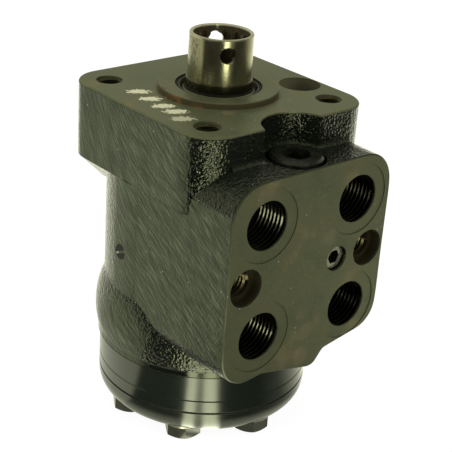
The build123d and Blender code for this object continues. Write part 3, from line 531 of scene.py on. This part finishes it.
# Rust at the collar's foot and in spots on both machined faces: place, reach and amount
rust_places = [
    ((-22.3, 6.5, 1.6), 4.0, 0.8),
    ((-21.5, -6.0, 0.5), 4.0, 0.5),
    ((-14.0, -22.0, 0.6), 4.0, 0.3),
    ((9.0, PORT_FACE, -41.0), 5.0, 0.35),
    ((1.5, PORT_FACE, -78.0), 6.0, 0.4),
    ((-2.0, PORT_FACE, -70.0), 4.0, 0.35),
    ((6.5, PORT_FACE, -74.0), 4.0, 0.3),
    ((0.0, PORT_FACE, -88.0), 6.0, 0.35),
    ((-3.0, -33.0, 0.0), 6.0, 0.3),
    ((5.0, -30.0, 0.0), 5.0, 0.25),
]
rusts = []
for centre, spread, amount in rust_places:
    centre = tuple(value * MM for value in centre)
    spot = use(tree, rust_patch, Place=place, Centre=centre, Reach=spread, Amount=amount)
    rusts.append(spot["Mask"])
rust = product(tree, any_of(tree, *rusts), machined)

# Diagonal strokes left by fettling on the left side, which leans in towards the ports
lean_in = (BODY_WIDTH - FACE_WIDTH) / 2 / PORT_FACE
side_wall = product(tree, maths(tree, "MINIMUM", axis[1], 0.0), lean_in)
from_side = maths(tree, "ADD", axis[0], BODY_WIDTH / 2 * MM)
from_wall = any_of(tree, maths(tree, "SUBTRACT", from_side, side_wall), 0.0)
left_side = product(
    tree, step(tree, facing[0], -0.9, -0.98), step(tree, from_wall, 0.6, 0.2, MM)
)
rear = any_of(tree, maths(tree, "ADD", axis[1], 5 * MM), 0.0)
bend = product(tree, maths(tree, "POWER", rear, 2.0), 26.0)
sway = maths(tree, "MULTIPLY_ADD", noise(tree, place, 70.0), 2.4 * MM, -1.2 * MM)
across = maths(tree, "SUBTRACT", axis[2], maths(tree, "MULTIPLY_ADD", axis[1], 0.72, bend))
across = maths(tree, "ADD", across, sway)
stroke_place = add(
    tree,
    "ShaderNodeCombineXYZ",
    X=0.0,
    Y=product(tree, axis[1], 150.0),
    Z=product(tree, across, 1300.0),
).outputs[0]
strokes = noise(tree, stroke_place, 1.0, distortion=0.3)

# Cream paint dabs, brushed across the left of the flange: x, y and amount
dab_places = [
    (-27.6, 12.5, 1.0),
    (-29.0, 3.9, 1.0),
    (-29.6, -4.8, 0.95),
    (-29.2, -11.6, 0.9),
    (-31.7, -18.7, 0.55),
]
dab_turn = radians(-29.4)
dab_length = 4.1 * MM
dab_width = 2.2 * MM
rough_edge = maths(tree, "MULTIPLY_ADD", noise(tree, place, 700.0, 3.0, 0.6), 2.4, -1.25)
dabs = []
for x, y, amount in dab_places:
    a = maths(tree, "SUBTRACT", axis[0], x * MM)
    b = maths(tree, "SUBTRACT", axis[1], y * MM)
    u = weighed(tree, a, cos(dab_turn) / dab_length, b, sin(dab_turn) / dab_length)
    v = weighed(tree, a, -sin(dab_turn) / dab_width, b, cos(dab_turn) / dab_width)
    size = maths(tree, "ADD", length_of(tree, u, v), rough_edge)
    dabs.append(product(tree, step(tree, size, 1.05, 0.85), amount))
on_flange = product(tree, top_face, step(tree, axis[2], 1.0, 0.2, MM))
dab = product(tree, any_of(tree, *dabs), on_flange)

# Colours: paint, bare iron, painted shade on the chamfers, the notch, white dust and painted shade
# in the deep bores
paint_tone = ramp(
    tree, skin["Tone"], [(0.3, (0.004, 0.005, 0.0035)), (0.7, (0.009, 0.011, 0.0075))]
)
# Left side: the fettling strokes in a tone far lighter than the paint, partly painted light
# falling from the left
left_strokes_lit_tone = ramp(
    tree,
    strokes,
    [(0.35, (0.008, 0.011, 0.005)), (0.5, (0.02, 0.027, 0.013)), (0.64, (0.058, 0.074, 0.036))],
)
color = blend(tree, left_side, paint_tone, left_strokes_lit_tone)
color = blend(tree, machined, color, iron["Color"])
# Painted shade: the chamfer round the port face is darkened to the paint's tone
face_edge = product(tree, front_face, step(tree, facing[1], -0.95, -0.85))
color = blend(tree, face_edge, color, (0.03, 0.034, 0.019))
notch_wall = product(tree, notch, step(tree, axis[2], -0.2, -0.6, MM))
color = blend(tree, notch_wall, color, (0.15, 0.145, 0.08))
dots = add(tree, "ShaderNodeTexVoronoi", Vector=place, Scale=200.0).outputs["Distance"]
color = blend(tree, step(tree, dots, 0.045, 0.03), color, (0.6, 0.6, 0.48))
# Painted shade deep in the front bores past the port face; the face holes get an oily brown over
# it
inwards = step(tree, axis[1], PORT_FACE + 0.6, PORT_FACE + 1.1, MM)
deep = product(tree, front_bores, inwards)
oily_holes = [within(tree, axis[0], axis[2], hole, 7.3) for hole in FACE_HOLES.values()]
oily = product(tree, any_of(tree, *oily_holes), deep)
color = blend(tree, deep, color, (0.012, 0.012, 0.009))
color = blend(tree, oily, color, (0.035, 0.028, 0.012))

# Rust, with an uneven band of it round the collar's foot, and the cream dabs over all
rust_tone = ramp(
    tree,
    noise(tree, place, 300.0, 3.0),
    [(0.3, (0.075, 0.05, 0.018)), (0.7, (0.13, 0.085, 0.025))],
)
color = blend(tree, rust, color, rust_tone)
band = product(
    tree,
    step(tree, from_shaft, 22.25, 22.6, MM),
    step(tree, from_shaft, 24.3, 23.0, MM),
    step(tree, axis[2], -0.9, -0.3, MM),
)
lean = maths(tree, "DIVIDE", weighed(tree, axis[1], -0.75, axis[0], -0.66), from_shaft)
uneven = noise(tree, place, 260.0, 4.0, 0.6)
band = product(tree, band, step(tree, maths(tree, "ADD", lean, uneven), 0.25, 0.95))
orange = step(tree, weighed(tree, uneven, 2.2, axis[0], -22.0), 1.5, 1.9)
band_tone = blend(tree, orange, (0.045, 0.036, 0.015), (0.13, 0.06, 0.016))
color = blend(tree, band, color, band_tone)
color = blend(tree, dab, color, (0.62, 0.6, 0.38))
dull = any_of(tree, rust, band, dab)

# Gloss and relief, and a painted shadow in the seam at the foot, under the boss
metallic = product(tree, machined, maths(tree, "SUBTRACT", 0.3, dull, clamp=True))
stroke_gloss = maths(tree, "MULTIPLY_ADD", strokes, -0.5, 0.7)
cast_gloss = blend_value(tree, left_side, 0.08, stroke_gloss)
roughness = blend_value(tree, machined, cast_gloss, iron["Roughness"])
roughness = blend_value(tree, dull, roughness, 0.7)
stroke_share = product(tree, left_side, 0.5)
cast_height = blend_value(tree, stroke_share, skin["Height"], product(tree, strokes, 0.7))
iron_height = product(tree, iron["Height"], 0.06)
relief = blend_value(tree, any_of(tree, machined, foot_band), cast_height, iron_height)
# Painted shadow: a black line along the foot of the casting, where the boss overhangs the plate
shadow_under_boss = step(tree, axis[2], PLATE_TOP + 0.4, PLATE_TOP + 0.25, MM)
color = blend(tree, shadow_under_boss, color, (0.002, 0.002, 0.002))
roughness = blend_value(tree, shadow_under_boss, roughness, 0.9)
bump = bump_of(tree, relief, 1.0, 0.6)
surface(tree, color, metallic, roughness, bump, ior=1.55, tint=(0.9, 1.0, 0.66))
dress(housing_paint, "valve_housing")


# Threads and lands: threads cut in the ports, the mounting holes, the two face holes and
# round the small plug, and the flat lands the tap left at the port mouths, all in the iron.
SMOOTH_ANGLE = radians(35)


def grained(name, scale, stops, strength, depth, roughness=0.6):
    """Material with one fine grain: the material, its tree, tone and bump normal."""
    material = new_material(name)
    tree = material.node_tree
    grain = noise(tree, place_of(tree)[0], scale, 3.0, roughness)
    return material, tree, ramp(tree, grain, stops), bump_of(tree, grain, strength, depth)


def cut_thread(name, mouth, outward, outer, inner, pitch, turns, steel):
    """Helical ridge on a hole's wall, from its mouth inwards; sizes in millimetres."""
    root_width = 0.92 * pitch
    crest_share = 0.14
    steps_a_turn = 40
    bpy.ops.object.select_all(action="DESELECT")
    bpy.ops.mesh.primitive_plane_add(
        size=1, location=((outer + inner) / 2 * MM, 0, 0), rotation=(radians(90), 0, 0)
    )
    ridge = bpy.context.object
    ridge.name = name
    ridge.scale = ((outer - inner) * MM, root_width * MM, 1)
    bpy.ops.object.transform_apply(location=True, rotation=True, scale=True)
    bpy.ops.object.mode_set(mode="EDIT")
    bpy.ops.mesh.select_all(action="SELECT")
    bpy.ops.mesh.delete(type="ONLY_FACE")
    bpy.ops.object.mode_set(mode="OBJECT")
    for corner in ridge.data.vertices:
        corner.select = corner.co.x < (outer + inner) / 2 * MM
    bpy.ops.object.mode_set(mode="EDIT")
    bpy.ops.transform.resize(value=(1, 1, crest_share))
    bpy.ops.object.mode_set(mode="OBJECT")
    wind = ridge.modifiers.new("wind", "SCREW")
    wind.axis = "Z"
    wind.screw_offset = -pitch * MM
    wind.iterations = turns
    wind.steps = wind.render_steps = steps_a_turn
    bpy.ops.object.modifier_apply(modifier="wind")
    bpy.ops.object.mode_set(mode="EDIT")
    bpy.ops.mesh.select_all(action="DESELECT")
    bpy.ops.mesh.select_non_manifold()
    bpy.ops.mesh.fill_holes(sides=4)
    bpy.ops.mesh.select_all(action="SELECT")
    bpy.ops.mesh.normals_make_consistent(inside=False)
    bpy.ops.object.mode_set(mode="OBJECT")
    ridge.rotation_euler = Vector(outward).to_track_quat("Z", "Y").to_euler()
    ridge.location = Vector(mouth) * MM
    bpy.ops.object.transform_apply(location=True, rotation=True, scale=True)
    bpy.ops.object.shade_smooth_by_angle(angle=SMOOTH_ANGLE)
    ridge.data.materials.append(steel)
    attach(ridge, "housing")


def thread_land(name, mouth, outer, inner, depth):
    """Flat ring round a thread's mouth, between the tap's core and the hole's wall."""
    bpy.ops.object.select_all(action="DESELECT")
    bpy.ops.mesh.primitive_circle_add(vertices=96, radius=outer * MM, location=(0, 0, 0))
    land = bpy.context.object
    land.name = name
    bpy.ops.object.mode_set(mode="EDIT")
    bpy.ops.mesh.select_all(action="SELECT")
    bpy.ops.mesh.extrude_region_move()
    bpy.ops.transform.resize(value=(inner / outer, inner / outer, 1))
    bpy.ops.mesh.select_all(action="SELECT")
    bpy.ops.mesh.normals_make_consistent(inside=False)
    bpy.ops.object.mode_set(mode="OBJECT")
    wall = land.modifiers.new("wall", "SOLIDIFY")
    wall.thickness = depth * MM
    wall.offset = 0
    bpy.ops.object.modifier_apply(modifier="wall")
    bpy.ops.object.mode_set(mode="EDIT")
    bpy.ops.mesh.select_all(action="SELECT")
    bpy.ops.mesh.normals_make_consistent(inside=False)
    bpy.ops.object.mode_set(mode="OBJECT")
    land.rotation_euler = (radians(90), 0, 0)
    land.location = Vector(mouth) * MM + Vector((0, depth / 2 * MM, 0))
    bpy.ops.object.transform_apply(location=True, rotation=True, scale=True)
    bpy.ops.object.shade_smooth_by_angle(angle=SMOOTH_ANGLE)
    land.data.materials.append(housing_paint)
    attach(land, "housing")


# Thread steel far darker than cut steel: painted shade for the inside of the ports
shade_dark_cut_steel, tree, tone, bump = grained(
    "cut thread steel",
    500.0,
    [(0.35, (0.03, 0.03, 0.021)), (0.7, (0.075, 0.075, 0.053))],
    0.2,
    0.02,
)
surface(tree, tone, 1.0, 0.14, bump)
brown_steel, tree, tone, bump = grained(
    "brown thread steel",
    450.0,
    [(0.35, (0.035, 0.03, 0.015)), (0.7, (0.1, 0.086, 0.042))],
    0.4,
    0.03,
)
surface(tree, tone, 0.9, 0.25, bump)

FRONT = (0, -1, 0)
UP = (0, 0, 1)
for name, (x, z) in PORTS.items():
    mouth = (x, PORT_FACE + 1.7, z)
    cut_thread(f"{name}_port_thread", mouth, FRONT, 10.55, 9.35, 1.814, 7, shade_dark_cut_steel)
    thread_land(f"{name}_port_land", (x, PORT_FACE + 0.3, z), 10.49, 9.3, 0.7)
for name, (x, y) in MOUNTS.items():
    mouth = (x * MOUNT_REACH, y * MOUNT_REACH, -0.6)
    cut_thread(f"{name}_mount_thread", mouth, UP, 5.06, 4.25, 1.5, 10, brown_steel)
for name, (x, z) in FACE_HOLES.items():
    mouth = (x, PORT_FACE + 5.4, z)
    cut_thread(f"{name}_face_thread", mouth, FRONT, 5.06, 4.2, 1.5, 6, brown_steel)
mouth = (SMALL_PLUG[0], PORT_FACE + 0.6, SMALL_PLUG[1])
cut_thread("small_plug_thread", mouth, FRONT, 5.05, 4.5, 0.5, 2, shade_dark_cut_steel)

# Gear set: distributor plate, gear ring and end cover, turned steel discs clamped under
# the casting by the cover screws, in gloss black-green paint with a dark joint line at the
# ring's foot and a painted shadow at the plate's top, under the casting.
stack_paint = new_material("gloss stack paint")
tree = stack_paint.node_tree
place, axis = place_of(tree)
paint_noise = noise(tree, place, 50.0, 3.0)
tone = ramp(tree, paint_noise, [(0.35, (0.009, 0.013, 0.009)), (0.7, (0.016, 0.021, 0.014))])
bump = bump_of(tree, noise(tree, place, 260.0), 0.35, 0.02)
# Seam lines: a dark joint line at the ring's foot, and a painted shadow at the plate's top under
# the boss
seams = [line_at(tree, axis[2], level, 0.5, 0.4) for level in (PLATE_TOP, RING_FOOT)]
seam_line_and_shadow = any_of(tree, *seams)
tone = blend(tree, seam_line_and_shadow, tone, (0.002, 0.002, 0.002))
gloss = blend_value(tree, seam_line_and_shadow, 0.2, 0.9)
surface(tree, tone, 0.0, gloss, bump, ior=1.7, tint=(0.95, 1.0, 0.8))
dress(stack_paint, "distributor_plate", "gear_ring", "end_cover")


# Spool shaft: ground steel tube with a spline inside and a cross hole near its end,
# turned rings in its gloss, stained on the weather side and rusty within.
def stretched_noise(tree, place, scale, detail):
    """Noise drawn out along the axes by a scale for each."""
    vector = add(tree, "ShaderNodeMapping", Vector=place, Scale=scale).outputs[0]
    return noise(tree, vector, 1.0, detail, 0.6)


shaft_steel = new_material("ground shaft steel")
tree = shaft_steel.node_tree
place, axis = place_of(tree)
rings = stretched_noise(tree, place, (20, 20, 3500), 2.0)
scratches = stretched_noise(tree, place, (600, 600, 90), 3.0)
tone = ramp(tree, scratches, [(0.35, (0.23, 0.225, 0.125)), (0.7, (0.33, 0.32, 0.19))])
from_shaft = radius_about(tree, axis[0], axis[1], SHAFT_AXIS)
inside = step(tree, from_shaft, 11.2, 10.8, MM)
foot = product(tree, step(tree, from_shaft, 12.1, 12.3, MM), step(tree, axis[2], 5.2, 4.6, MM))
stain = noise(tree, place, 330.0, 4.0, 0.65)
shaft_radius = 12 * MM
toward_left = weighed(tree, axis[0], -0.866 / shaft_radius, axis[1], 0.5 / shaft_radius)
patchy = step(tree, noise(tree, place, 800.0, 4.0, 0.65), 0.45, 0.6)
weather = product(tree, step(tree, toward_left, 0.74, 0.84), patchy, 0.5)
speckle = product(tree, step(tree, noise(tree, place, 1500.0), 0.62, 0.7), 0.15)
rust_inside = product(tree, inside, step(tree, stain, 0.45, 0.7))
rust = any_of(tree, weather, speckle, rust_inside)
rust_tone = ramp(
    tree,
    stain,
    [(0.3, (0.035, 0.03, 0.013)), (0.55, (0.06, 0.05, 0.02)), (0.72, (0.16, 0.07, 0.022))],
)
color = blend(tree, inside, tone, (0.075, 0.066, 0.034))
color = blend(tree, rust, color, rust_tone)
# Painted shade on the thicker foot of the shaft, down by the seal
color = blend(tree, foot, color, (0.06, 0.056, 0.03))
# Painted highlight on the rim round the top of the shaft
rim_highlight = product(tree, step(tree, axis[2], 21.3, 21.6, MM), step(tree, from_shaft, 10.3, 10.5, MM))
color = blend(tree, rim_highlight, color, (0.5, 0.48, 0.31))
roughness = blend_value(tree, rust, 0.22, 0.5)
metallic = blend_value(tree, any_of(tree, rust, inside), 0.93, 0.4)
surface(tree, color, metallic, roughness, bump_of(tree, rings, 0.5, 0.05))
dress(shaft_steel, "spool_shaft")

# Seals: black rubber rings pressed into the collar and between the discs, dull and a
# little dusty, with two painted highlight lines on the lip of the dust seal.
rubber, tree, tone, bump = grained(
    "black rubber",
    700.0,
    [(0.4, (0.004, 0.004, 0.0025)), (0.75, (0.01, 0.01, 0.006))],
    0.3,
    0.03,
    roughness=0.5,
)
axis = place_of(tree)[1]
from_shaft = radius_about(tree, axis[0], axis[1], SHAFT_AXIS)
# Painted highlights: two light lines round the dust seal's lip
lip_highlights = [line_at(tree, from_shaft, radius, 0.2, 0.1) for radius in (14.9, 13.35)]
lip_highlights = product(tree, any_of(tree, *lip_highlights), step(tree, axis[2], -3.0, -1.0, MM))
tone = blend(tree, lip_highlights, tone, (0.16, 0.155, 0.09))
surface(tree, tone, 0.0, 0.6, bump, ior=1.3, tint=(0.97, 1.0, 0.6))
dress(rubber, "dust_seal", "shaft_seal", "housing_seal_ring", "plate_seal_ring", "cover_seal_ring")

# Screws and valve plugs: black oxide steel, the hex cover screws in from below and the
# relief plug, its adjuster and the check valve's bush screwed into the casting.
black_steel, tree, tone, bump = grained(
    "black oxide steel",
    400.0,
    [(0.35, (0.005, 0.006, 0.004)), (0.7, (0.016, 0.018, 0.012))],
    0.4,
    0.03,
)
surface(tree, tone, 0.2, 0.25, bump, ior=1.6, tint=(0.97, 1.0, 0.8))
dress(black_steel, "cover_screws", "pin_screw")
dress(black_steel, "relief_plug", "relief_adjuster", "check_valve_bush")

# Washers: plain steel rings with a dull zinc look, under the heads of the cover screws
# and the relief plug.
zinc, tree, tone, bump = grained(
    "dull washer steel",
    500.0,
    [(0.35, (0.2, 0.2, 0.14)), (0.7, (0.34, 0.34, 0.25))],
    0.3,
    0.02,
)
surface(tree, tone, 0.9, 0.35, bump)
dress(zinc, "screw_washers", "relief_plug_seal")

# Small plug: turned steel left bright, with painted shade in its hex socket, screwed in
# flush with the port face.
bright_steel, tree, tone, bump = grained(
    "bright plug steel",
    600.0,
    [(0.35, (0.4, 0.39, 0.28)), (0.7, (0.62, 0.6, 0.45))],
    0.2,
    0.02,
)
axis = place_of(tree)[1]
# Painted shade: the hex socket is darkened below the plug's face
socket = step(tree, axis[1], PORT_FACE + 1.65, PORT_FACE + 2.0, MM)
tone = blend(tree, socket, tone, (0.05, 0.05, 0.036))
surface(tree, tone, 0.85, 0.22, bump)
dress(bright_steel, "port_face_plug")

# Side plug: oiled black steel pressed into the left side, with a painted glint along its slot.
# The piece added here is the end that shows, just proud of the round of the casting.
slotted_plug = new_material("black slotted plug")
tree = slotted_plug.node_tree
axis = place_of(tree)[1]
slot_turn = radians(25)
rise = maths(tree, "SUBTRACT", axis[2], SIDE_PLUG[1] * MM)
aside = maths(tree, "SUBTRACT", axis[1], SIDE_PLUG[0] * MM)
from_slot = weighed(tree, rise, cos(slot_turn), aside, sin(slot_turn))
# Painted highlight: a light line along the slot
slot_glint = line_at(tree, from_slot, 0, 0.45, 0.35)
tone = blend(tree, slot_glint, (0.004, 0.004, 0.003), (0.42, 0.42, 0.32))
surface(tree, tone, 0.0, 0.5, ior=1.3)
dress(slotted_plug, "side_plug")

end_radius = 2.9
end_length = 0.8
slot_half = 0.4
slot_depth = 0.3
bpy.ops.object.select_all(action="DESELECT")
bpy.ops.mesh.primitive_cylinder_add(
    vertices=48, radius=end_radius * MM, depth=end_length * MM, location=(0, 0, 0)
)
plug_end = bpy.context.object
plug_end.name = "side_plug_end"
bpy.ops.object.mode_set(mode="EDIT")
for edge in (-slot_half, slot_half):
    bpy.ops.mesh.select_all(action="SELECT")
    bpy.ops.mesh.bisect(plane_co=(0, edge * MM, 0), plane_no=(0, 1, 0))
bpy.ops.mesh.select_all(action="DESELECT")
bpy.ops.object.mode_set(mode="OBJECT")
for face in plug_end.data.polygons:
    face.select = face.normal.z > 0.9 and abs(face.center.y) < slot_half / 2 * MM
bpy.ops.object.mode_set(mode="EDIT")
bpy.ops.mesh.extrude_region_move(
    TRANSFORM_OT_translate={"value": (0, 0, -slot_depth * MM)}
)
bpy.ops.object.mode_set(mode="OBJECT")
along = Vector((0, -cos(slot_turn), sin(slot_turn)))
outward = Vector((-1, 0, 0))
turned = Matrix((along, outward.cross(along), outward)).transposed()
plug_end.rotation_euler = turned.to_euler()
plug_end.location = Vector((-BODY_WIDTH / 2 + 0.1, *SIDE_PLUG)) * MM
bpy.ops.object.transform_apply(location=True, rotation=True, scale=True)
bpy.ops.object.shade_smooth_by_angle(angle=SMOOTH_ANGLE)
plug_end.data.materials.append(slotted_plug)
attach(plug_end, "housing")

# Parts inside: sleeve, bearing, springs, cardan, rotor and valves, bright ground steel
# with a film of oil, held by the casting and the gear set round them.
oiled_steel, tree, tone, bump = grained(
    "oiled bright steel",
    300.0,
    [(0.35, (0.3, 0.29, 0.24)), (0.7, (0.46, 0.45, 0.38))],
    0.2,
    0.02,
)
surface(tree, tone, 1.0, 0.22, bump)
dress(oiled_steel, *[name for name in nodes if name not in dressed])
